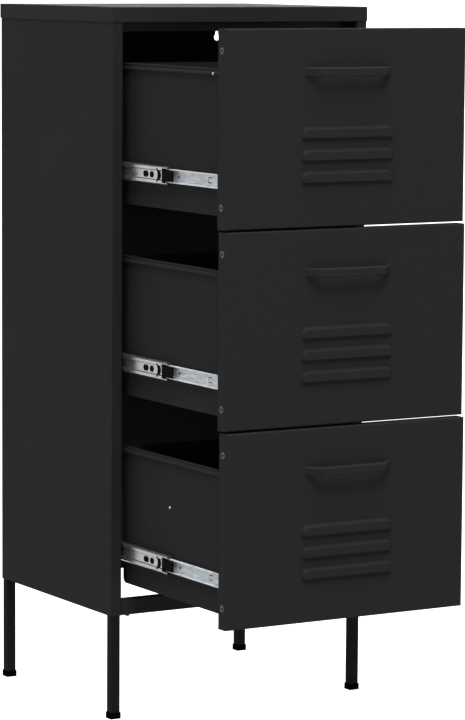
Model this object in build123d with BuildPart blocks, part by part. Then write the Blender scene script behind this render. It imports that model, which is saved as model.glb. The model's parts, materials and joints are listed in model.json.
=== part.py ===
from build123d import *

# Steel chest of three drawers on square legs, drawn with its drawers pulled out on telescopic slides.
# Millimetres; +X to the right, +Y to the back, +Z up; the floor is at Z = 0.

# Overall size
width = 425.0
depth = 350.0
height = 1015.0
leg_height = 150.0

# Sheet metal of the carcass and of the drawers
sheet = 1.0
drawer_sheet = 0.8
bend = 1.8
drawer_bend = 1.3
fit = 0.2

# Top panel
rim = 21.0
top_edge = 1.6

# Legs: square tubes that stand inside the folded posts of the side panels
leg_tube = 14.5
leg_wall = 1.2
leg_corner = 1.8
leg_clearance = 0.25
leg_insert = 60.0
foot_height = 9.0
foot_floor = 3.0
foot_wall = 0.9
foot_clearance = 0.1
foot_chamfer = 0.9

# Folded edges of the side panels
front_lip = 39.0
rear_lip = 46.0

# Rails and back panel
rail_height = 23.5
rail_flange = 12.0
rail_tab = 25.0
top_rail_drop = 34.0
back_gap = 0.8
back_margin = 1.0
back_flange = 14.0

# Keyholes in the back for wall screws
keyhole_spacing = 320.0
keyhole_drop = 52.0
keyhole_entry = 5.0
keyhole_slot = 2.5
keyhole_rise = 8.0

# Round fasteners and their holes are drawn with few sides
head_sides = 8
shank_sides = 6

# Bolts of the legs and rails
bolt_radius = 2.0
bolt_head_radius = 4.0
bolt_head = 2.2
bolt_length = 6.0
bolt_clearance = 0.2
bolt_rise = 11.0
rear_bolt_spacing = 30.0

# Drawers, top to bottom, and how far each stands open
drawer_names = ("top", "middle", "bottom")
drawer_openings = (282.0, 286.0, 291.0)
front_gap = 2.8
front_top_gap = 3.8
front_foot_gap = 4.4
front_side_gap = 1.1
front_depth = 20.0
front_bend = 2.0
box_height = 198.5
box_rise = 17.0
box_rear = 308.0
box_corner = 8.0
hem_start = 21.0
side_lip = 15.0
lip_margin = 17.0
wall_stub = 5.0
floor_rise = 10.0
back_return = 12.0

# Hem rolled along the top of a drawer side: how far it stands out, and how far below the top edge
hem_profile = (
    (0.0, 0.0),
    (1.2, 0.5),
    (1.2, 2.6),
    (0.7, 3.4),
    (2.8, 7.0),
    (2.8, 8.6),
    (1.9, 9.6),
    (0.0, 9.6),
)

# Rivets through the returns of a drawer front
rivet_radius = 2.4
rivet_head_radius = 5.0
rivet_head = 0.6
rivet_length = 4.0
rivet_clearance = 0.1
rivet_margin = 29.5
rivet_setback = 10.0

# Louvres pressed out of a drawer front
louvre_width = 148.0
louvre_height = 15.0
louvre_rise = 4.5
louvre_slope = 42.0
louvre_corner = 11.0
louvre_pitch = 30.0
louvre_drop = 147.5
louvre_count = 3
louvre_skirt = 6.0
louvre_pocket_corner = 6.0

# Bow pull on a drawer front
pull_width = 139.0
pull_height = 13.0
pull_reach = 20.0
pull_gauge = 4.0
pull_top_chamfer = 2.4
pull_foot_chamfer = 1.2
pull_slope = 19.0
pull_bend = 8.0
pull_drop = 51.5

# Telescopic slides: sections across the slide run from the post towards the drawer
slide_depth = 12.0
slide_gauge = 1.2
mid_gauge = 1.0
cage_gauge = 0.6
slide_run = 0.35
slide_end_gap = 2.0
cabinet_member_height = 35.0
cabinet_member_lip = 2.6
mid_member_height = 25.6
mid_web_height = 12.0
mid_web_recess = 1.4
mid_shoulder = 1.2
drawer_member_height = 19.0
race_flat = 1.6
slide_length = 300.0
slide_rise = 47.0
slide_setback = 0.6

# Middle member: its share of the drawer's travel, its stop block and the holes in its web
mid_share = 5 / 9
stop_length = 29.0
stop_seat = 14.5
stop_height = 14.5
stop_root = 7.0
window_height = 7.8
window_corner = 2.4
window_places = (29.3, 47.0)
window_lengths = (9.0, 12.5)
slit_width = 5.4
slit_height = 18.0
slit_bow = 3.0
slit_place = 8.2

# Holes in the drawer member, measured from its front end
dimple_radius = 2.6
dimple_place = 121.0
tab_width = 10.0
tab_height = 8.0
tab_slit = 1.4
tab_place = 35.7

# Ball cages
cage_length = 100.0
cage_place = 98.0
cage_tip_gap = 1.2

# Places along Y, with the open chest centred over the origin
body_inset = sheet + fit
furthest = max(drawer_openings) + pull_reach
cabinet_front = (furthest - body_inset - depth) / 2
cabinet_middle = cabinet_front + depth / 2
body_front = cabinet_front + body_inset
back_face = cabinet_front + depth - sheet - back_gap
body_back = back_face - sheet

# Places along X: outer face of a side panel, and the post face that carries the slides
body_half = width / 2 - sheet - fit
post = leg_tube + 2 * (leg_clearance + sheet)
post_face = body_half - post
box_half = post_face - slide_depth
box_inner = box_half - drawer_sheet
front_width = 2 * (post_face - front_side_gap)
leg_x = body_half - post / 2
leg_front_y = body_front + post / 2
leg_rear_y = body_back - post / 2

# Places along Z
body_top = height - sheet - fit
rail_top = leg_height + rail_height
keyhole_height = height - keyhole_drop
front_room = height - rim - front_top_gap - rail_top - front_foot_gap
drawer_count = len(drawer_names)
front_height = (front_room - (drawer_count - 1) * front_gap) / drawer_count
front_pitch = front_height + front_gap

# Slide section, measured from the post face towards the drawer
outer_cage_web = slide_gauge + slide_run
mid_face = outer_cage_web + cage_gauge + slide_run
mid_web = mid_face + mid_web_recess
inner_cage_web = mid_web + mid_gauge + slide_run
drawer_member_tip = inner_cage_web + cage_gauge + slide_run
cabinet_member_reach = slide_depth - slide_end_gap
mid_reach = slide_depth - slide_gauge - slide_end_gap / 2
race_outer = cabinet_member_height / 2 - slide_gauge
race_inner = mid_member_height / 2 - mid_gauge
outer_cage_half = (race_outer + mid_member_height / 2 + cage_gauge) / 2
inner_cage_half = (race_inner + drawer_member_height / 2 + cage_gauge) / 2

# Slide members along Y with the drawer shut
slide_front = body_front + front_depth + slide_setback
mid_front = slide_front + stop_length - stop_seat
drawer_rear = body_front + box_rear
cage_front = slide_front + cage_place


def facing(y, x=0.0, z=0.0):
    """Plane seen from the front: local x runs along X, local y along Z, the normal points to the front."""
    return Plane(origin=(x, y, z), x_dir=(1, 0, 0), z_dir=(0, -1, 0))


def across(x):
    """Plane seen from the right: local x runs along Y, local y along Z, the normal points along X."""
    return Plane.YZ.offset(x)


def save(piece, name):
    """Label a finished piece and write it."""
    piece.label = name
    export_step(piece, f"parts/{name}.step")


def save_pair(left, name):
    """Write a left-hand piece and its mirror image."""
    with BuildPart() as right:
        mirror(left, about=Plane.YZ)
    save(left, f"{name}_left")
    save(right.part, f"{name}_right")


def folded(plane, points, thickness, radius, side, amount):
    """Bent sheet: the points follow one face, the sheet lies to one side, and it runs along the normal.
    Without a radius the folds are sharp."""
    with BuildPart() as strip:
        with BuildSketch(plane):
            with BuildLine():
                if radius:
                    FilletPolyline(*points, radius=radius)
                else:
                    Polyline(*points)
                offset(amount=thickness, side=side, kind=Kind.INTERSECTION)
            make_face()
        extrude(amount=amount)
    return strip.part


def slide_member(member_front, length, lower, thickness, side, z):
    """Left-hand slide member, rolled from strip. The lower half of its section is given as
    (distance from the post face, height) points, and the upper half mirrors it."""
    upper = [(reach, -rise) for reach, rise in reversed(lower)]
    with BuildPart() as member:
        with BuildSketch(facing(member_front + length, x=-post_face, z=z)):
            with BuildLine():
                Polyline(*lower, *upper)
                offset(amount=thickness, side=side, kind=Kind.INTERSECTION)
            make_face()
        extrude(amount=length)
    return member.part


# Bolts on the left half: the face each head seats on, its place along Y and its height
rail_bolt_seat = post_face - fit - sheet
rear_bolt_height = leg_height + bolt_rise
front_bolts = [(rail_bolt_seat, leg_front_y, leg_height + bolt_rise)]
rear_bolts = [(post_face, leg_rear_y, rear_bolt_height + step * rear_bolt_spacing) for step in range(2)]
top_rail_tab = front_lip - front_depth - front_gap
top_bolts = [(rail_bolt_seat, body_front + front_lip - top_rail_tab / 2, body_top - top_rail_drop / 2)]
bolts = front_bolts + rear_bolts + top_bolts
bolt_hole = bolt_radius + bolt_clearance


# Top panel: a shallow tray turned upside down, its corners following the folded posts inside it
top_corner = bend + body_inset
with BuildPart() as top_panel:
    with BuildSketch(Plane(origin=(0, cabinet_middle, height - rim))):
        RectangleRounded(width, depth, top_corner)
    extrude(amount=rim)
    fillet(top_panel.faces().sort_by(Axis.Z)[-1].edges(), radius=top_edge)
    with BuildSketch(Plane(origin=(0, cabinet_middle, height - rim))):
        RectangleRounded(width - 2 * sheet, depth - 2 * sheet, top_corner - sheet)
    extrude(amount=rim - sheet, mode=Mode.SUBTRACT)
save(top_panel.part, "top_panel")


# Side panel: one sheet whose front and rear edges fold into open posts
side_line = [
    (-post_face, body_front + front_lip),
    (-post_face, body_front),
    (-body_half, body_front),
    (-body_half, body_back),
    (-post_face, body_back),
    (-post_face, body_back - rear_lip),
]
side_height = body_top - leg_height
with BuildPart() as side_panel:
    add(folded(Plane.XY.offset(leg_height), side_line, sheet, bend, Side.RIGHT, side_height))
    with BuildSketch(across(-post_face)):
        with Locations(*[(y, z) for _, y, z in bolts]):
            RegularPolygon(bolt_hole, shank_sides)
    extrude(amount=-sheet, mode=Mode.SUBTRACT)
save_pair(side_panel.part, "side_panel")


# Back panel with keyholes and a folded lower edge
with BuildPart() as back_panel:
    with BuildSketch(facing(back_face, z=leg_height)):
        with Locations((0, side_height / 2)):
            Rectangle(2 * (body_half - back_margin), side_height)
        with Locations(*[(side * keyhole_spacing / 2, keyhole_height - leg_height) for side in (-1, 1)]):
            Circle(keyhole_entry, mode=Mode.SUBTRACT)
        with Locations(*[(side * keyhole_spacing / 2, keyhole_height - leg_height) for side in (-1, 1)]):
            SlotCenterPoint((0, keyhole_rise / 2), (0, keyhole_rise), 2 * keyhole_slot, mode=Mode.SUBTRACT)
    extrude(amount=sheet)
    with BuildSketch(Plane(origin=(0, body_back, leg_height))):
        with Locations((0, -back_flange / 2)):
            Rectangle(2 * (post_face - fit), back_flange)
    extrude(amount=sheet)
save(back_panel.part, "back_panel")


# Rail under the top, hung between the front posts behind the drawer front
rail_half = post_face - fit
top_rail_front = body_front + front_lip - sheet
top_rail_foot = body_top - top_rail_drop
top_rail_line = [
    (top_rail_front + rail_flange, top_rail_foot),
    (top_rail_front, top_rail_foot),
    (top_rail_front, body_top),
    (top_rail_front + rail_flange, body_top),
]
with BuildPart() as front_top_rail:
    add(folded(across(-rail_half), top_rail_line, sheet, bend, Side.RIGHT, 2 * rail_half))
    for tab_face in (-rail_half, rail_half - sheet):
        with BuildSketch(across(tab_face)):
            with Locations((body_front + front_lip - top_rail_tab / 2, body_top - top_rail_drop / 2)):
                Rectangle(top_rail_tab, top_rail_drop - 2 * bend)
            with Locations(*[(y, z) for _, y, z in top_bolts]):
                RegularPolygon(bolt_hole, shank_sides, mode=Mode.SUBTRACT)
        extrude(amount=sheet)
save(front_top_rail.part, "front_top_rail")


# Rail under the bottom drawer, flush with the front of the posts
bottom_rail_line = [
    (body_front + rail_flange, rail_top),
    (body_front, rail_top),
    (body_front, leg_height),
    (body_front + rail_tab, leg_height),
]
with BuildPart() as front_bottom_rail:
    add(folded(across(-rail_half), bottom_rail_line, sheet, bend, Side.LEFT, 2 * rail_half))
    for tab_face in (-rail_half, rail_half - sheet):
        with BuildSketch(across(tab_face)):
            with Locations((body_front + rail_tab / 2, leg_height + rail_height / 2)):
                Rectangle(rail_tab - 2 * bend, rail_height - 2 * sheet)
            with Locations(*[(y, z) for _, y, z in front_bolts]):
                RegularPolygon(bolt_hole, shank_sides, mode=Mode.SUBTRACT)
        extrude(amount=sheet)
save(front_bottom_rail.part, "front_bottom_rail")


# Legs, drawn on the left and mirrored
def make_leg(y, leg_bolts):
    with BuildPart() as leg:
        with BuildSketch(Plane(origin=(-leg_x, y, foot_floor))):
            RectangleRounded(leg_tube, leg_tube, leg_corner)
            Rectangle(leg_tube - 2 * leg_wall, leg_tube - 2 * leg_wall, mode=Mode.SUBTRACT)
        extrude(amount=leg_height + leg_insert - foot_floor)
        with BuildSketch(across(-leg_x)):
            with Locations(*[(bolt_y, z) for _, bolt_y, z in leg_bolts]):
                RegularPolygon(bolt_hole, shank_sides)
        extrude(amount=leg_tube, mode=Mode.SUBTRACT)
    return leg.part


save_pair(make_leg(leg_front_y, front_bolts), "leg_front")
save_pair(make_leg(leg_rear_y, rear_bolts), "leg_rear")


# Foot caps: cups that the legs stand in
leg_places = [(side * leg_x, y) for side in (-1, 1) for y in (leg_front_y, leg_rear_y)]
foot_socket = leg_tube + 2 * foot_clearance
foot_width = foot_socket + 2 * foot_wall
with BuildPart() as foot_caps:
    with BuildSketch():
        with Locations(*leg_places):
            Rectangle(foot_width, foot_width)
    extrude(amount=foot_height)
    chamfer(foot_caps.edges().filter_by(Axis.Z), length=foot_chamfer)
    with BuildSketch(Plane.XY.offset(foot_floor)):
        with Locations(*leg_places):
            Rectangle(foot_socket, foot_socket)
    extrude(amount=foot_height, mode=Mode.SUBTRACT)
save(foot_caps.part, "foot_caps")


# Bolts, headed towards the middle of the chest
with BuildPart() as left_bolts:
    for seat, y, z in bolts:
        with BuildSketch(across(-seat)):
            with Locations((y, z)):
                RegularPolygon(bolt_head_radius, shank_sides)
        extrude(amount=bolt_head)
        with BuildSketch(across(-seat)):
            with Locations((y, z)):
                RegularPolygon(bolt_radius, shank_sides)
        extrude(amount=-bolt_length)
with BuildPart() as carcass_bolts:
    add(left_bolts.part)
    mirror(left_bolts.part, about=Plane.YZ)
save(carcass_bolts.part, "carcass_bolts")


# Cabinet member of a slide: a channel with turned-in lips and bevelled ball races
def make_cabinet_member(z):
    half = cabinet_member_height / 2
    lower = [
        (cabinet_member_reach, cabinet_member_lip - half),
        (cabinet_member_reach, race_flat - half),
        (cabinet_member_reach - race_flat, -half),
        (race_flat, -half),
        (0, race_flat - half),
    ]
    return slide_member(slide_front, slide_length, lower, slide_gauge, Side.RIGHT, z)


# Middle member: a channel whose web is set back between two ball races
def make_mid_member(y, z):
    half = mid_member_height / 2
    web_half = mid_web_height / 2
    lower = [
        (mid_reach, -half),
        (mid_face + race_flat, -half),
        (mid_face, race_flat - half),
        (mid_face, -web_half - mid_shoulder),
        (mid_web, -web_half),
    ]
    length = slide_front + slide_length - mid_front
    web_edge = y + stop_seat
    web_plane = across(-post_face + mid_face)
    web_depth = mid_web_recess + mid_gauge
    slit_half = slit_height / 2
    slit_end = web_edge + slit_place + slit_bow
    with BuildPart() as member:
        add(slide_member(y, length, lower, mid_gauge, Side.RIGHT, z))
        with BuildSketch(web_plane):
            with Locations((y, z)):
                Rectangle(2 * stop_seat, 2 * (race_inner - race_flat))
        extrude(amount=web_depth, mode=Mode.SUBTRACT)
        with BuildSketch(web_plane) as windows:
            for place, window_length in zip(window_places, window_lengths):
                with Locations((web_edge + place, z)):
                    Rectangle(window_length, window_height)
            chamfer(windows.vertices(), length=window_corner)
        extrude(amount=web_depth, mode=Mode.SUBTRACT)
        with BuildSketch(web_plane):
            with BuildLine():
                Polyline((slit_end, z - slit_half), (slit_end - slit_bow, z), (slit_end, z + slit_half))
                offset(amount=slit_width, side=Side.RIGHT, kind=Kind.INTERSECTION)
            make_face()
        extrude(amount=web_depth, mode=Mode.SUBTRACT)
    return member.part


# Stop block: a moulded plug that fills the front end of the middle member and reaches past it
def make_stop(y, z):
    with BuildPart() as stop:
        with BuildSketch(across(-post_face + mid_face)) as outline:
            with Locations((y + stop_length / 2, z)):
                Rectangle(stop_length, stop_height)
            with Locations((y + stop_length - stop_root / 2, z)):
                Rectangle(stop_root, 2 * (race_inner - race_flat - slide_run))
            chamfer(outline.vertices().group_by(Axis.Y)[0], length=window_corner)
        extrude(amount=mid_web_recess + mid_gauge)
    return stop.part


# Drawer member: a channel that opens towards the middle member
def make_drawer_member(y, z):
    half = drawer_member_height / 2
    lower = [
        (drawer_member_tip, -half),
        (slide_depth - race_flat, -half),
        (slide_depth, race_flat - half),
    ]
    length = drawer_rear - slide_front
    tab_front = y + tab_place - tab_width / 2
    with BuildPart() as member:
        add(slide_member(y, length, lower, slide_gauge, Side.LEFT, z))
        with BuildSketch(across(-box_half)):
            with Locations((y + dimple_place, z)):
                RegularPolygon(dimple_radius, head_sides)
            with BuildLine():
                Polyline(
                    (tab_front, z - tab_height / 2),
                    (tab_front + tab_width, z - tab_height / 2),
                    (tab_front + tab_width, z + tab_height / 2),
                    (tab_front, z + tab_height / 2),
                )
                offset(amount=tab_slit, side=Side.LEFT, kind=Kind.INTERSECTION)
            make_face()
        extrude(amount=-slide_gauge, mode=Mode.SUBTRACT)
    return member.part


# Ball cage: a thin channel between two members
def make_cage(y, z, web, half, reach):
    return slide_member(y, cage_length, [(reach, -half), (web, -half)], cage_gauge, Side.RIGHT, z)


# Outline of a louvre, carried on below its open edge
def louvre_outline():
    half = louvre_width / 2
    with BuildSketch() as outline:
        with BuildLine():
            FilletPolyline(
                (-half, -louvre_skirt),
                (-half, louvre_height),
                (half, louvre_height),
                (half, -louvre_skirt),
                radius=louvre_corner,
            )
            Line((half, -louvre_skirt), (-half, -louvre_skirt))
        make_face()
    return outline.sketch


# Outline of the pocket behind a louvre, with bevelled upper corners
def louvre_pocket(inset, skirt):
    half = louvre_width / 2 - inset
    top = louvre_height - inset
    with BuildSketch() as outline:
        with BuildLine():
            Polyline(
                (-half, -skirt),
                (-half, top - louvre_pocket_corner),
                (louvre_pocket_corner - half, top),
                (half - louvre_pocket_corner, top),
                (half, top - louvre_pocket_corner),
                (half, -skirt),
                close=True,
            )
        make_face()
    return outline.sketch


# Drawer front: a pan with returns, riveted to the sides, with louvres pressed out of it
def make_front(y, z):
    louvre_lowest = front_height - louvre_drop - (louvre_count - 1) * louvre_pitch
    louvre_places = [(0, louvre_lowest + step * louvre_pitch) for step in range(louvre_count)]
    wall_inset = 1.4 * drawer_sheet
    with BuildPart() as front:
        with BuildSketch(facing(y + front_depth, z=z + front_height / 2)):
            Rectangle(front_width, front_height)
        extrude(amount=front_depth)
        fillet(front.faces().sort_by(Axis.Y)[0].edges(), radius=front_bend)
        offset(amount=-drawer_sheet, openings=front.faces().sort_by(Axis.Y)[-1])
        with BuildSketch(facing(y, z=z)):
            with Locations(*louvre_places):
                add(louvre_outline())
        extrude(amount=louvre_rise, taper=louvre_slope)
        with BuildSketch(facing(y, z=z)):
            with Locations(*louvre_places):
                with Locations((0, -louvre_skirt / 2)):
                    Rectangle(louvre_width + louvre_skirt, louvre_skirt)
        extrude(amount=louvre_rise, mode=Mode.SUBTRACT)
        with BuildSketch(facing(y, z=z)):
            with Locations(*louvre_places):
                add(louvre_pocket(wall_inset, louvre_skirt))
        extrude(amount=louvre_rise - drawer_sheet, taper=louvre_slope, mode=Mode.SUBTRACT)
        with BuildSketch(facing(y, z=z)):
            with Locations(*louvre_places):
                add(louvre_pocket(wall_inset, 0))
        extrude(amount=-drawer_sheet, mode=Mode.SUBTRACT)
        with BuildSketch(Plane.YZ):
            with Locations(*[(y + rivet_setback, z + place) for place in rivet_heights]):
                RegularPolygon(rivet_radius + rivet_clearance, shank_sides)
        extrude(amount=front_width, both=True, mode=Mode.SUBTRACT)
    return front.part


# Bow pull: a flat strip with sloping ends that meet the front
def make_pull(y, z):
    half = pull_width / 2
    run_out = pull_gauge * pull_slope / pull_reach
    points = [
        (-half - run_out, y + pull_gauge),
        (-half + pull_slope, y - pull_reach),
        (half - pull_slope, y - pull_reach),
        (half + run_out, y + pull_gauge),
    ]
    with BuildPart() as pull:
        add(folded(Plane.XY.offset(z), points, pull_gauge, pull_bend, Side.LEFT, pull_height))
        chamfer(pull.faces().sort_by(Axis.Z)[-1].edges().sort_by(Axis.Y)[0], length=pull_top_chamfer)
        chamfer(pull.faces().sort_by(Axis.Z)[0].edges().sort_by(Axis.Y)[0], length=pull_foot_chamfer)
        split(bisect_by=facing(y), keep=Keep.TOP)
    return pull.part


# Drawer side: its front end folds outwards into the returns of the front, its top edge is hemmed
def make_side(y, z):
    front_edge = y + drawer_sheet + fit
    rear_edge = y + box_rear
    return_face = front_width / 2 - drawer_sheet - fit
    points = [
        (-box_inner, rear_edge),
        (-box_inner, front_edge),
        (-return_face, front_edge),
        (-return_face, front_edge + side_lip),
    ]
    box_foot = z + box_rise
    box_top = box_foot + box_height
    lip_foot = z + lip_margin
    lip_height = front_height - 2 * lip_margin
    with BuildPart() as side:
        add(folded(Plane.XY.offset(lip_foot), points, drawer_sheet, drawer_bend, Side.RIGHT, lip_height))
        with BuildSketch(across(-box_inner)):
            with Locations((front_edge + wall_stub, box_top)):
                Rectangle(box_rear, lip_height, align=(Align.MIN, Align.MIN))
            with Locations((front_edge + wall_stub, box_foot)):
                Rectangle(box_rear, lip_height, align=(Align.MIN, Align.MAX))
        extrude(amount=-drawer_sheet, mode=Mode.SUBTRACT)
        with BuildSketch(facing(rear_edge, x=-box_half, z=box_top)):
            with BuildLine():
                Polyline(*[(-reach, -drop) for reach, drop in hem_profile], close=True)
            make_face()
        extrude(amount=box_rear - hem_start)
        rear_corner = side.edges().filter_by(Axis.X).group_by(Axis.Y)[-1].sort_by(Axis.Z)[0]
        fillet(rear_corner, radius=box_corner)
        with BuildSketch(across(-box_half)):
            with Locations(*[(y + rivet_setback, z + place) for place in rivet_heights]):
                RegularPolygon(rivet_radius + rivet_clearance, shank_sides)
        extrude(amount=-slide_depth, mode=Mode.SUBTRACT)
    return side.part


# Drawer back, with returns that face the rear
def make_back(y, z):
    half = box_inner - fit
    rear_edge = y + box_rear
    points = [
        (-half, rear_edge),
        (-half, rear_edge - back_return),
        (half, rear_edge - back_return),
        (half, rear_edge),
    ]
    plane = Plane.XY.offset(z + box_rise + box_corner)
    return folded(plane, points, drawer_sheet, 0, Side.LEFT, box_height - box_corner)


# Drawer bottom, with edges folded down between the sides
def make_bottom(y, z):
    half = box_inner - fit
    floor_length = box_rear - back_return - drawer_sheet - 2 * fit
    box_foot = z + box_rise
    points = [
        (-half, box_foot),
        (-half, box_foot + floor_rise),
        (half, box_foot + floor_rise),
        (half, box_foot),
    ]
    plane = facing(y + drawer_sheet + fit + floor_length)
    return folded(plane, points, drawer_sheet, 0, Side.RIGHT, floor_length)


# Rivets through the returns of a front
def make_rivets(y, z):
    seat = front_width / 2
    with BuildPart() as left_rivets:
        for place in rivet_heights:
            with BuildSketch(across(-seat)):
                with Locations((y + rivet_setback, z + place)):
                    RegularPolygon(rivet_head_radius, head_sides)
            extrude(amount=-rivet_head)
            with BuildSketch(across(-seat)):
                with Locations((y + rivet_setback, z + place)):
                    RegularPolygon(rivet_radius, shank_sides)
            extrude(amount=rivet_length)
    with BuildPart() as rivets:
        add(left_rivets.part)
        mirror(left_rivets.part, about=Plane.YZ)
    return rivets.part


# Two pieces of one node, on the left and on the right
def both_sides(left):
    with BuildPart() as pair:
        add(left)
        mirror(left, about=Plane.YZ)
    return pair.part


rivet_heights = (rivet_margin, front_height - rivet_margin)
for order, (name, opening) in enumerate(zip(drawer_names, drawer_openings)):
    front_foot = rail_top + front_foot_gap + (drawer_count - 1 - order) * front_pitch
    face = body_front - opening
    slide_z = front_foot + box_rise + slide_rise
    mid_travel = mid_share * opening

    save(make_front(face, front_foot), f"{name}_drawer_front")
    save(make_pull(face, front_foot + front_height - pull_drop - pull_height), f"{name}_drawer_pull")
    save_pair(make_side(face, front_foot), f"{name}_drawer_side")
    save(make_back(face, front_foot), f"{name}_drawer_back")
    save(make_bottom(face, front_foot), f"{name}_drawer_bottom")
    save(make_rivets(face, front_foot), f"{name}_drawer_rivets")

    save_pair(make_cabinet_member(slide_z), f"{name}_cabinet_slide")
    save_pair(make_mid_member(mid_front - mid_travel, slide_z), f"{name}_mid_slide")
    save(both_sides(make_stop(slide_front - mid_travel, slide_z)), f"{name}_slide_stops")
    save_pair(make_drawer_member(slide_front - opening, slide_z), f"{name}_drawer_slide")

    outer_reach = cabinet_member_reach - slide_gauge - cage_tip_gap / 2
    outer_cage_y = cage_front - mid_travel / 2
    outer_cage = make_cage(outer_cage_y, slide_z, outer_cage_web, outer_cage_half, outer_reach)
    save(both_sides(outer_cage), f"{name}_outer_ball_cages")

    inner_cage_y = cage_front - (opening + mid_travel) / 2
    inner_cage = make_cage(inner_cage_y, slide_z, inner_cage_web, inner_cage_half, mid_reach)
    save(both_sides(inner_cage), f"{name}_inner_ball_cages")
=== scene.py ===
import json
import math

import bmesh
import bpy
from mathutils import Matrix, Vector


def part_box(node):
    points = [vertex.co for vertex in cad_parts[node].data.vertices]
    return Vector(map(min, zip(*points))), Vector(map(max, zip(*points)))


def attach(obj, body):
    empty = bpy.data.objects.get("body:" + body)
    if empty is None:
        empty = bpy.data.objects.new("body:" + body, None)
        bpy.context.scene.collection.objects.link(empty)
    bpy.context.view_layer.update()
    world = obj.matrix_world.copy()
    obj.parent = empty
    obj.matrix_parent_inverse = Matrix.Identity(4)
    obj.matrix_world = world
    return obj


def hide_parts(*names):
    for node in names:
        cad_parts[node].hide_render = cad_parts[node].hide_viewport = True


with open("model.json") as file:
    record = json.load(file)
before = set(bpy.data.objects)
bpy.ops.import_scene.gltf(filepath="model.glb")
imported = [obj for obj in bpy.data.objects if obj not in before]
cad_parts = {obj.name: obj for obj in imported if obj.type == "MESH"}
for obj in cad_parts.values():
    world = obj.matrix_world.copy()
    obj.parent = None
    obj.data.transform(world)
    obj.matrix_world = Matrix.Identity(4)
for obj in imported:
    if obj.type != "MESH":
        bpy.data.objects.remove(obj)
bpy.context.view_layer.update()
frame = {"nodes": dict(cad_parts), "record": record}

nodes = frame["nodes"]
scene = bpy.context.scene

# The look of a steel chest of three drawers: paint, zinc and plastic, small fasteners, the balls and levers
# of the slides, and a white studio. The scene is in metres; the sizes of small pieces are in millimetres.
MM = 0.001
DRAWERS = ("top", "middle", "bottom")
SHARP_ANGLE = math.radians(35)


# Materials: noise in object space varies the colour, the roughness and the relief of each

NOISE_SPAN = (0.3, 0.7)


def new_material(name):
    """A material with a bare principled shader; its tree and object coordinates come with it."""
    mat = bpy.data.materials.new(name)
    mat.use_nodes = True
    tree = mat.node_tree
    tree.nodes.clear()
    out = tree.nodes.new("ShaderNodeOutputMaterial")
    bsdf = tree.nodes.new("ShaderNodeBsdfPrincipled")
    tree.links.new(bsdf.outputs["BSDF"], out.inputs["Surface"])
    coord = tree.nodes.new("ShaderNodeTexCoord")
    return mat, tree, bsdf, coord.outputs["Object"]


def noise(tree, vector, scale, detail=2.0):
    node = tree.nodes.new("ShaderNodeTexNoise")
    node.inputs["Scale"].default_value = scale
    node.inputs["Detail"].default_value = detail
    tree.links.new(vector, node.inputs["Vector"])
    return node.outputs["Fac"]


def stretched(tree, vector, scale):
    node = tree.nodes.new("ShaderNodeMapping")
    node.inputs["Scale"].default_value = scale
    tree.links.new(vector, node.inputs["Vector"])
    return node.outputs["Vector"]


def mean(tree, first, second):
    """Half of one value plus half of the other."""
    half = tree.nodes.new("ShaderNodeMath")
    half.operation = "MULTIPLY"
    half.inputs[1].default_value = 0.5
    tree.links.new(second, half.inputs[0])
    total = tree.nodes.new("ShaderNodeMath")
    total.operation = "MULTIPLY_ADD"
    total.inputs[1].default_value = 0.5
    tree.links.new(first, total.inputs[0])
    tree.links.new(half.outputs["Value"], total.inputs[2])
    return total.outputs["Value"]


def ramp(tree, fac, low, high, span=NOISE_SPAN):
    """Colours from low to high as the value crosses the span."""
    node = tree.nodes.new("ShaderNodeValToRGB")
    for element, position, colour in zip(node.color_ramp.elements, span, (low, high)):
        element.position = position
        element.color = (*colour, 1.0)
    tree.links.new(fac, node.inputs["Fac"])
    return node.outputs["Color"]


def tints(shade, darker, lighter):
    return [tuple(channel * factor for channel in shade) for factor in (darker, lighter)]


def spread(tree, fac, low, high):
    """Numbers from low to high as the value crosses the noise's span."""
    node = tree.nodes.new("ShaderNodeMapRange")
    node.inputs["From Min"].default_value, node.inputs["From Max"].default_value = NOISE_SPAN
    node.inputs["To Min"].default_value = low
    node.inputs["To Max"].default_value = high
    tree.links.new(fac, node.inputs["Value"])
    return node.outputs["Result"]


def bump(tree, height, strength, distance):
    node = tree.nodes.new("ShaderNodeBump")
    node.inputs["Strength"].default_value = strength
    node.inputs["Distance"].default_value = distance
    tree.links.new(height, node.inputs["Height"])
    return node.outputs["Normal"]


def powder_coat(name, shade, specular=0.005, rough=0.5):
    """Matte black powder coat: a fine pebbled skin with faint cloudiness."""
    mat, tree, bsdf, at = new_material(name)
    mottle = noise(tree, at, scale=700.0, detail=3.0)
    clouds = noise(tree, at, scale=9.0, detail=4.0)
    pebbles = noise(tree, at, scale=1500.0)
    low, high = tints(shade, darker=0.82, lighter=1.18)
    smooth, dull = rough - 0.05, rough + 0.07
    tree.links.new(ramp(tree, mottle, low, high), bsdf.inputs["Base Color"])
    tree.links.new(spread(tree, clouds, smooth, dull), bsdf.inputs["Roughness"])
    bsdf.inputs["Specular IOR Level"].default_value = specular
    tree.links.new(bump(tree, pebbles, strength=0.12, distance=0.0003), bsdf.inputs["Normal"])
    return mat


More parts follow.
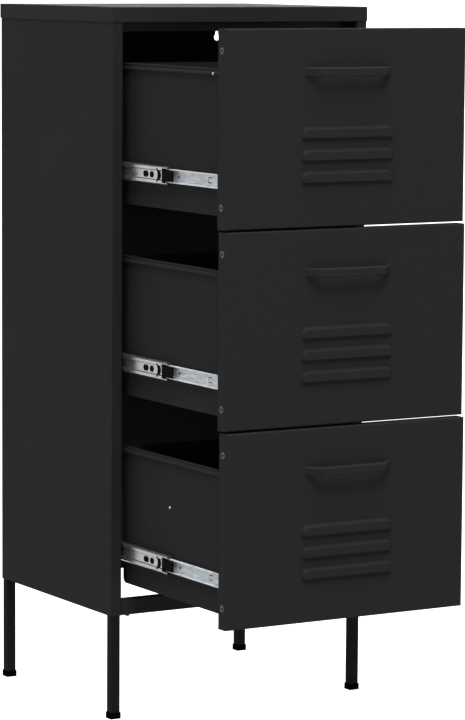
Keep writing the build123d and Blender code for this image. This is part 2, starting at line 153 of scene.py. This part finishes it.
def plated_steel(name, shade, rough, metallic, uneven=1.0):
    """Zinc plate on strip drawn along its length: fine streaks and soft clouds, more or less uneven."""
    mat, tree, bsdf, at = new_material(name)
    streaks = noise(tree, stretched(tree, at, (1.0, 0.04, 1.0)), scale=900.0, detail=3.0)
    clouds = noise(tree, stretched(tree, at, (1.0, 0.35, 1.0)), scale=220.0, detail=3.0)
    low, high = tints(shade, darker=1 - 0.38 * uneven, lighter=1 + 0.35 * uneven)
    smooth, dull = rough - 0.10 * uneven, rough + 0.12 * uneven
    both = mean(tree, streaks, clouds)
    tree.links.new(ramp(tree, both, low, high, span=(0.36, 0.64)), bsdf.inputs["Base Color"])
    tree.links.new(spread(tree, clouds, smooth, dull), bsdf.inputs["Roughness"])
    bsdf.inputs["Metallic"].default_value = metallic
    tree.links.new(bump(tree, streaks, strength=0.025 * uneven, distance=0.0002), bsdf.inputs["Normal"])
    return mat


def moulded_plastic(name, shade, specular):
    """Black moulded plastic with a fine spark-eroded grain."""
    mat, tree, bsdf, at = new_material(name)
    mottle = noise(tree, at, scale=400.0)
    clouds = noise(tree, at, scale=120.0, detail=3.0)
    grain = noise(tree, at, scale=2200.0)
    low, high = tints(shade, darker=0.7, lighter=1.3)
    tree.links.new(ramp(tree, mottle, low, high), bsdf.inputs["Base Color"])
    tree.links.new(spread(tree, clouds, low=0.38, high=0.52), bsdf.inputs["Roughness"])
    bsdf.inputs["Specular IOR Level"].default_value = specular
    tree.links.new(bump(tree, grain, strength=0.10, distance=0.0002), bsdf.inputs["Normal"])
    return mat


LOOKS = {
    "black_paint": powder_coat("black_powder_coat", (0.0094, 0.0094, 0.0096)),
    "zinc_steel": plated_steel("bright_zinc", (0.252, 0.271, 0.286), rough=0.50, metallic=0.05),
    "black_plastic": moulded_plastic("black_plastic", (0.0008, 0.0008, 0.0009), specular=0.006),
    "zinc_bolts": plated_steel("bolt_zinc", (0.60, 0.61, 0.63), rough=0.40, metallic=0.5),
}
glossy_zinc = plated_steel("glossy_zinc", (0.235, 0.241, 0.248), rough=0.24, metallic=0.93, uneven=0.35)
# Painted shade: a darker copy of the black powder coat for the legs, which stand in shade under the chest
shaded_leg_look = powder_coat("leg_coat_painted_shade", (0.0056, 0.0056, 0.0057))
foot_look = moulded_plastic("foot_plastic", (0.0007, 0.0007, 0.0008), specular=0.0)
# Painted light: a lighter copy of the black powder coat for the rail under the top, which sits in shade
lit_rail_look = powder_coat("rail_coat_painted_light", (0.0200, 0.0200, 0.0203))
# Painted light: the top's coat is a lighter copy of the black powder coat, besides being smoother
lit_top_look = powder_coat("top_coat_painted_light", (0.0105, 0.0105, 0.0107), specular=0.004, rough=0.30)
rivet_look = powder_coat("rivet_paint", (0.030, 0.030, 0.031), specular=0.08, rough=0.4)
screw_look = powder_coat("screw_paint", (0.020, 0.020, 0.021), specular=0.10, rough=0.4)

# Nodes that don't take the look of their slot: the legs are painted darker, a painted shade for the shade
# under the chest, and the feet are a little darker; the top and the rail under it are painted lighter, a
# painted light;
# and the middle members of the slides are polished by the balls
own_looks = {"foot_caps": foot_look, "front_top_rail": lit_rail_look, "top_panel": lit_top_look}
for side in ("left", "right"):
    for end in ("front", "rear"):
        own_looks[f"leg_{end}_{side}"] = shaded_leg_look
    for name in DRAWERS:
        own_looks[f"{name}_mid_slide_{side}"] = glossy_zinc

for part in frame["record"]["subparts"]:
    mesh = nodes[part["node"]].data
    mesh.materials.clear()
    mesh.materials.append(own_looks.get(part["node"], LOOKS[part["material_slot"]]))


# Small pieces

def new_object(bm, name, look):
    mesh = bpy.data.meshes.new(name)
    bm.to_mesh(mesh)
    bm.free()
    mesh.materials.append(look)
    obj = bpy.data.objects.new(name, mesh)
    scene.collection.objects.link(obj)
    return obj


def add_piece(bm, name, look, body, smooth=True):
    """Add a piece that moves with a body; the bmesh is used up."""
    bmesh.ops.recalc_face_normals(bm, faces=bm.faces)
    obj = new_object(bm, name, look)
    if smooth:
        for face in obj.data.polygons:
            face.use_smooth = True
        obj.data.set_sharp_from_angle(angle=SHARP_ANGLE)
    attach(obj, body)
    return obj


def turned(bm, profile, centre, axis, sides=24):
    """A lathe form: profile points are (radius, height) in millimetres along the axis from the centre."""
    turn = Vector((0, 0, 1)).rotation_difference(Vector(axis)).to_matrix()
    rings = []
    for radius, height in profile:
        count = sides if radius else 1
        ring = []
        for step in range(count):
            angle = math.tau * step / count
            local = Vector((radius * MM * math.cos(angle), radius * MM * math.sin(angle), height * MM))
            ring.append(bm.verts.new(Vector(centre) + turn @ local))
        rings.append(ring)
    for lower, upper in zip(rings, rings[1:]):
        for step in range(sides):
            after = (step + 1) % sides
            corners = [lower[step % len(lower)], lower[after % len(lower)]]
            corners += [upper[after % len(upper)], upper[step % len(upper)]]
            bm.faces.new(list(dict.fromkeys(corners)))


RIVET = (
    (1.9, -0.2), (5.0, -0.2), (5.0, 0.15), (4.4, 0.45), (3.4, 0.6), (2.4, 0.55), (1.9, 0.35), (1.9, -0.2),
)
# Painted shade: a near-black disc in the middle of each rivet head, for the shade in its hollow
RIVET_CENTRE_SHADE = ((0, -0.2), (1.95, -0.2), (1.95, 0.1), (1.4, 0.1), (1.2, 0.22), (0, 0.25))
STUD = ((0, -0.4), (2.0, -0.4), (2.0, 0.5), (1.5, 1.0), (0, 1.2))
PAN_HEAD = ((0, -0.2), (3.4, -0.2), (3.4, 0.5), (2.9, 1.2), (1.9, 1.55), (0, 1.65))
HEX_HEAD = ((0, 0.3), (4.6, 0.3), (4.6, -0.7), (3.6, -0.7), (3.6, -2.6), (3.0, -3.0), (0, -3.0))


# Blind rivets in the returns of the fronts: rolled heads round a near-black disc in each centre, a painted
# shade of the rivet's hollow
RIVET_MARGIN = 29.5 * MM
RIVET_PIECES = (("heads", RIVET, rivet_look), ("centre_shade", RIVET_CENTRE_SHADE, LOOKS["black_plastic"]))

for name in DRAWERS:
    low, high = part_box(f"{name}_drawer_front")
    rivets_low, rivets_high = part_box(f"{name}_drawer_rivets")
    y = (rivets_low.y + rivets_high.y) / 2
    for piece_name, profile, look in RIVET_PIECES:
        bm = bmesh.new()
        for side in (-1, 1):
            for z in (low.z + RIVET_MARGIN, high.z - RIVET_MARGIN):
                turned(bm, profile, (side * high.x, y, z), (side, 0, 0))
        piece = add_piece(bm, f"{name}_rivet_{piece_name}", look, f"{name}_drawer")
        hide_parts(f"{name}_drawer_rivets")


# Bright studs on the left sides of two drawers; the upper one sits on the hem, which stands out 2 mm
STUD_PLACES = {
    "top": (-184.3 * MM, -252.7 * MM, 929.5 * MM),
    "bottom": (-182.3 * MM, -136.9 * MM, 322.3 * MM),
}
STUD_SIDES = 16

for name, place in STUD_PLACES.items():
    bm = bmesh.new()
    turned(bm, STUD, place, (-1, 0, 0), STUD_SIDES)
    add_piece(bm, f"{name}_drawer_stud", LOOKS["zinc_steel"], f"{name}_drawer")


# Screws that hold the back panel: a column along each edge and a pair at the bottom
SCREW_COLUMN = 202.5 * MM
SCREW_HEIGHTS = (172 * MM, 365 * MM, 570 * MM, 775 * MM, 975 * MM)
LOW_SCREW_OFFSET = 100 * MM
LOW_SCREW_HEIGHT = 157 * MM

_, back_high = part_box("back_panel")
bm = bmesh.new()
for side in (-1, 1):
    for z in SCREW_HEIGHTS:
        turned(bm, PAN_HEAD, (side * SCREW_COLUMN, back_high.y, z), (0, 1, 0))
for side in (-1, 1):
    turned(bm, PAN_HEAD, (side * LOW_SCREW_OFFSET, back_high.y, LOW_SCREW_HEIGHT), (0, 1, 0))
add_piece(bm, "back_screws", screw_look, "cabinet")


# Hexagon bolts under the bottom rail
RAIL_BOLT_OFFSET = 180 * MM
RAIL_BOLT_INSET = 9 * MM
HEX_SIDES = 6

rail_low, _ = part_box("front_bottom_rail")
bm = bmesh.new()
for side in (-1, 1):
    place = (side * RAIL_BOLT_OFFSET, rail_low.y + RAIL_BOLT_INSET, rail_low.z)
    turned(bm, HEX_HEAD, place, (0, 0, 1), HEX_SIDES)
add_piece(bm, "rail_bolts", screw_look, "cabinet", smooth=False)


# Balls of the slides: for each kind of cage their radius, the rows' rise from the middle of the cage and
# the rows' distance from the middle of the chest
BALLS = {
    "outer": (1.7 * MM, 14.55 * MM, 188.6 * MM),
    "inner": (1.1 * MM, 10.65 * MM, 185.9 * MM),
}
BALLS_IN_ROW = 9
BALL_SUBDIVISIONS = 2


def ball_rows(name, kind):
    radius, rise, across = BALLS[kind]
    low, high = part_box(f"{name}_{kind}_ball_cages")
    middle = (low.z + high.z) / 2
    bm = bmesh.new()
    for side in (-1, 1):
        for row in (-1, 1):
            for step in range(BALLS_IN_ROW):
                y = low.y + (high.y - low.y) * (step + 0.5) / BALLS_IN_ROW
                at = Matrix.Translation((side * across, y, middle + row * rise))
                bmesh.ops.create_icosphere(bm, subdivisions=BALL_SUBDIVISIONS, radius=radius, matrix=at)
    add_piece(bm, f"{name}_{kind}_balls", LOOKS["zinc_steel"], f"{name}_{kind}_cages")


for name in DRAWERS:
    for kind in BALLS:
        ball_rows(name, kind)


# Black release levers of the slides, which show through the windows and the slit of the middle members.
# Places along the slide are measured from the front edge of the web, behind the seat of the stop block.
STOP_SEAT = 14.5 * MM
WEB_RECESS = 1.4 * MM
LEVER_THICKNESS = 1.0 * MM
LEVER_PROUD = 0.15 * MM
PAD_HEIGHT = 8.6 * MM
PAD_CORNER = 2.6 * MM
PADS = ((30.4 * MM, 11.2 * MM), (47.2 * MM, 14.4 * MM))
BOW_PLACE = 14.6 * MM
BOW_DEPTH = 5.6 * MM
BOW_RISE = 9.5 * MM
BOW_HALF_ENDS = 1.4 * MM
BOW_HALF_MIDDLE = 2.5 * MM
BOW_STEPS = 12


def plate(bm, outline, outer, inner):
    """A flat plate: the outline is (y, z) points, its faces lie at two places along X."""
    near = [bm.verts.new((outer, y, z)) for y, z in outline]
    far = [bm.verts.new((inner, y, z)) for y, z in outline]
    bm.faces.new(near)
    bm.faces.new(far)
    for step in range(len(outline)):
        after = (step + 1) % len(outline)
        bm.faces.new((near[step], near[after], far[after], far[step]))


def pad_outline(y, z, length):
    """A rectangle with cut corners round a centre."""
    along, up = length / 2, PAD_HEIGHT / 2
    quarter = [(along, up - PAD_CORNER), (along - PAD_CORNER, up)]
    corners = quarter + [(-dy, dz) for dy, dz in reversed(quarter)]
    corners += [(-dy, -dz) for dy, dz in quarter]
    corners += [(dy, -dz) for dy, dz in reversed(quarter)]
    return [(y + dy, z + dz) for dy, dz in corners]


def bow_outline(y, z):
    """An upright strip that bows to the front and is thickest halfway up."""
    front, rear = [], []
    for step in range(BOW_STEPS + 1):
        t = 2 * step / BOW_STEPS - 1
        middle = y - BOW_DEPTH * (1 - t * t)
        half = BOW_HALF_ENDS + (BOW_HALF_MIDDLE - BOW_HALF_ENDS) * (1 - t * t) ** 2
        front.append((middle - half, z + t * BOW_RISE))
        rear.append((middle + half, z + t * BOW_RISE))
    return front + rear[::-1]


for name in DRAWERS:
    bm = bmesh.new()
    for side, inward in (("left", 1), ("right", -1)):
        low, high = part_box(f"{name}_mid_slide_{side}")
        face = low.x if side == "left" else high.x
        web = face + inward * WEB_RECESS
        web_edge = low.y + STOP_SEAT
        middle = (low.z + high.z) / 2
        inner = web + inward * LEVER_THICKNESS
        for place, length in PADS:
            plate(bm, pad_outline(web_edge + place, middle, length), web - inward * LEVER_PROUD, inner)
        plate(bm, bow_outline(web_edge + BOW_PLACE, middle), face - inward * LEVER_PROUD, inner)
    levers = f"{name}_slide_levers"
    add_piece(bm, levers, LOOKS["black_plastic"], f"{name}_mid_slides", smooth=False)


# Stage: a pale floor that glows a little, as the lit white paper of a studio does
FLOOR_SIZE = 400.0

floor_look, tree, bsdf, at = new_material("studio_floor")
patches = ramp(tree, noise(tree, at, scale=3.0, detail=3.0), (0.045, 0.045, 0.045), (0.055, 0.055, 0.055))
tree.links.new(patches, bsdf.inputs["Base Color"])
bsdf.inputs["Emission Color"].default_value = (1.0, 1.0, 1.0, 1.0)
bsdf.inputs["Emission Strength"].default_value = 1.5
bsdf.inputs["Roughness"].default_value = 0.9
bsdf.inputs["Specular IOR Level"].default_value = 0.1
bm = bmesh.new()
bmesh.ops.create_grid(bm, x_segments=1, y_segments=1, size=FLOOR_SIZE)
floor = new_object(bm, "studio_floor", floor_look)


# Light

def add_light(data, direction, place=(0, 0, 0)):
    """Add a lamp that shines from the given direction; the place matters for a soft box only."""
    obj = bpy.data.objects.new(data.name, data)
    obj.location = place
    obj.rotation_euler = Vector(direction).to_track_quat("Z", "Y").to_euler()
    obj.visible_camera = False
    scene.collection.objects.link(obj)


# A soft box in front, to the left and above, whose light falls off towards the feet
KEY_AIM = Vector((0, -0.3, 0.90))
KEY_DIRECTION = Vector((-0.26, -0.64, 0.72))
KEY_DISTANCE = 3.2
key = bpy.data.lights.new("key", "AREA")
key.shape = "DISK"
key.size = 0.80
key.energy = 85.0
add_light(key, KEY_DIRECTION, KEY_AIM + KEY_DISTANCE * KEY_DIRECTION)

# A broad light overhead
overhead = bpy.data.lights.new("overhead", "SUN")
overhead.energy = 6.0
overhead.angle = math.radians(50)
add_light(overhead, (-0.06, -0.18, 0.98))

# A side light from the left and a little behind, which the cabinet keeps off the inner ends of the drawers
side_light = bpy.data.lights.new("side_light", "SUN")
side_light.energy = 0.7
side_light.angle = math.radians(50)
add_light(side_light, (-0.64, 0.69, 0.34))

# Dome of a white studio, as (sine of the height, strength): bright overhead and at the horizon, dim between
DOME = ((0.0, 0.30), (0.14, 0.30), (0.26, 0.06), (0.60, 0.10), (0.92, 1.0), (1.0, 1.0))
DOME_GAIN = 4.5
world = bpy.data.worlds.new("studio")
world.use_nodes = True
sky = world.node_tree
direction = sky.nodes.new("ShaderNodeTexCoord")
split = sky.nodes.new("ShaderNodeSeparateXYZ")
sky.links.new(direction.outputs["Generated"], split.inputs["Vector"])
dome = sky.nodes.new("ShaderNodeFloatCurve")
curve = dome.mapping.curves[0]
curve.points[0].location, curve.points[1].location = DOME[0], DOME[-1]
for height, strength in DOME[1:-1]:
    curve.points.new(height, strength)
dome.mapping.update()
sky.links.new(split.outputs["Z"], dome.inputs["Value"])
gain = sky.nodes.new("ShaderNodeMath")
gain.operation = "MULTIPLY"
gain.inputs[1].default_value = DOME_GAIN
sky.links.new(dome.outputs["Value"], gain.inputs[0])
background = sky.nodes["Background"]
background.inputs["Color"].default_value = (1.0, 1.0, 1.0, 1.0)
sky.links.new(gain.outputs["Value"], background.inputs["Strength"])
scene.world = world
scene.view_settings.view_transform = "Standard"


# Camera where the photographer stood: turned to the right, tilted down and hardly rolled
CAMERA_PLACE = (-2.4705, -4.1710, 1.0804)
CAMERA_TURN = math.radians(30.621)
CAMERA_TILT = math.radians(6.767)
CAMERA_ROLL = math.radians(0.386)
camera = bpy.data.objects.new("camera", bpy.data.cameras.new("camera"))
camera.matrix_world = (
    Matrix.Translation(CAMERA_PLACE)
    @ Matrix.Rotation(-CAMERA_TURN, 4, "Z")
    @ Matrix.Rotation(math.radians(90) - CAMERA_TILT, 4, "X")
    @ Matrix.Rotation(CAMERA_ROLL, 4, "Z")
)
camera.data.sensor_fit = "VERTICAL"
camera.data.sensor_height = 36.0
camera.data.lens = 168.277
camera.data.clip_end = 2000.0
scene.collection.objects.link(camera)
scene.camera = camera
